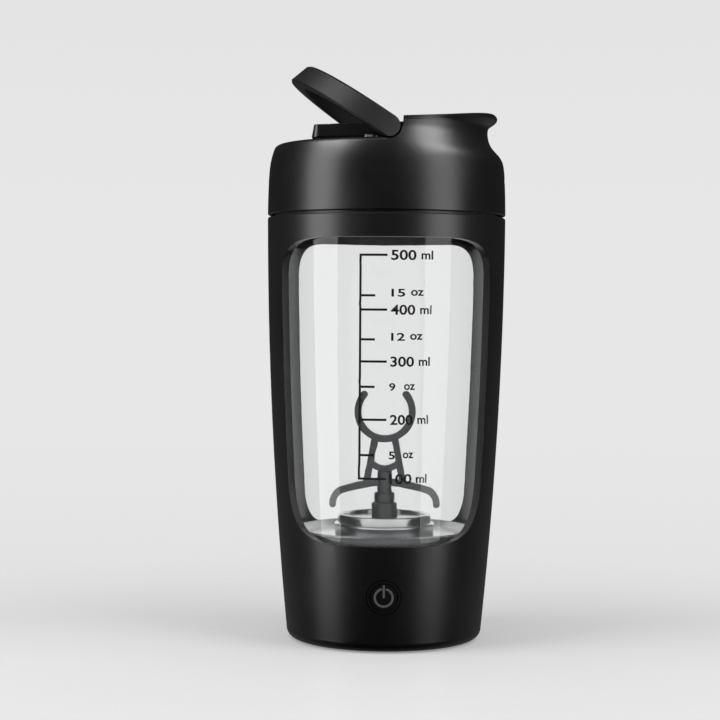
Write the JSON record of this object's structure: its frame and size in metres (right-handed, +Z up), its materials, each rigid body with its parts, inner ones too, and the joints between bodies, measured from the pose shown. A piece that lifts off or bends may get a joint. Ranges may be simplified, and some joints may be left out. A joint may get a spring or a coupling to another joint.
{
  "type": "electric protein shaker bottle",
  "caption": "Rechargeable mixing bottle: clear cup in a windowed sleeve, motor-driven paddle, screw lid with flip cap and carry handle.",
  "frame": {"origin": "bottom centre, on the surface it stands on", "axes": "+Z up along the bottle's axis, power button towards -Y, spout towards +X"},
  "size_m": [0.092, 0.092, 0.2208],
  "materials": {
    "body_black": "soft-touch satin black",
    "lid_black": "fine satin black",
    "handle_black": "fine satin black",
    "clear_cup": "clear, polished copolyester",
    "polished_steel": "polished pressed stainless steel",
    "shaft_steel": "ground steel",
    "fastener_steel": "zinc-plated steel",
    "bronze": "sintered bronze",
    "paddle_grey": "dark smoke-grey moulding",
    "black_silicone": "black silicone",
    "grey_silicone": "grey translucent silicone",
    "icon_grey": "grey light guide",
    "inner_black": "plain black moulding",
    "motor_metal": "plated steel can",
    "battery_wrap": "shrink-wrapped cell",
    "board_green": "glass-fibre board",
    "foam": "closed-cell foam",
    "wire_red": "wire insulation"
  },
  "bodies": {
    "base": {"outer_sleeve": "body_black", "cup": "clear_cup", "mixing_dish": "polished_steel", "dish_gasket": "black_silicone", "seal_housing": "inner_black", "seal_nut": "inner_black", "shaft_bearing": "bronze", "shaft_seal": "black_silicone", "motor_can": "motor_metal", "motor_end_bell": "inner_black", "motor_bracket": "inner_black", "motor_screws": "fastener_steel", "battery": "battery_wrap", "battery_pad": "foam", "control_board": "board_green", "tact_switch": "motor_metal", "status_led": "icon_grey", "charge_board": "board_green", "charge_port": "motor_metal", "motor_leads": "wire_red", "battery_leads": "wire_red", "base_cover": "inner_black", "cover_screws": "fastener_steel", "base_oring": "black_silicone", "foot_ring": "black_silicone"},
    "lid_ring": {"lid_gasket": "grey_silicone"},
    "lid": {"lid_shell": "lid_black", "lid_liner": "inner_black", "deck_bumpers": "grey_silicone"},
    "handle": {"carry_handle": "handle_black"},
    "cap": {"flip_cap": "lid_black", "cap_seal_pad": "black_silicone", "cap_hinge_pin": "shaft_steel"},
    "rotor": {"drive_shaft": "shaft_steel", "shaft_coupling": "bronze", "motor_shaft": "shaft_steel", "paddle": "paddle_grey"},
    "button": {"power_button": "body_black", "button_icon": "icon_grey", "switch_plunger": "inner_black"},
    "port_flap": {"port_cover": "black_silicone"}
  },
  "joints": [
    {"name": "lid_rise", "type": "slide", "parent": "base", "child": "lid_ring", "axis": [0, 0, 1], "range_m": [0, 0.018]},
    {"name": "lid_turn", "type": "hinge", "parent": "lid_ring", "child": "lid", "pos_m": [0, 0, 0.17], "axis": [0, 0, 1], "range_deg": [0, 1080]},
    {"name": "handle_swing", "type": "hinge", "parent": "lid", "child": "handle", "pos_m": [0.0006, 0, 0.19485], "axis": [0, 1, 0], "range_deg": [-33.5, 60]},
    {"name": "cap_flip", "type": "hinge", "parent": "lid", "child": "cap", "pos_m": [0.0006, 0, 0.19485], "axis": [0, 1, 0], "range_deg": [0, 177.2]},
    {"name": "paddle_spin", "type": "hinge", "parent": "base", "child": "rotor", "pos_m": [0, 0, 0.05], "axis": [0, 0, 1], "continuous": true},
    {"name": "button_press", "type": "slide", "parent": "base", "child": "button", "axis": [0, 1, 0], "range_m": [0, 0.0006], "stiffness_N_per_m": 600, "springref_m": -0.0008},
    {"name": "port_cover_swing", "type": "hinge", "parent": "base", "child": "port_flap", "pos_m": [0, 0.038, 0.0126], "axis": [-1, 0, 0], "range_deg": [0, 90]}
  ],
  "couplings": [
    {"joint": "lid_rise", "follows": "lid_turn", "m_per_rad": 0.00095493}
  ]
}
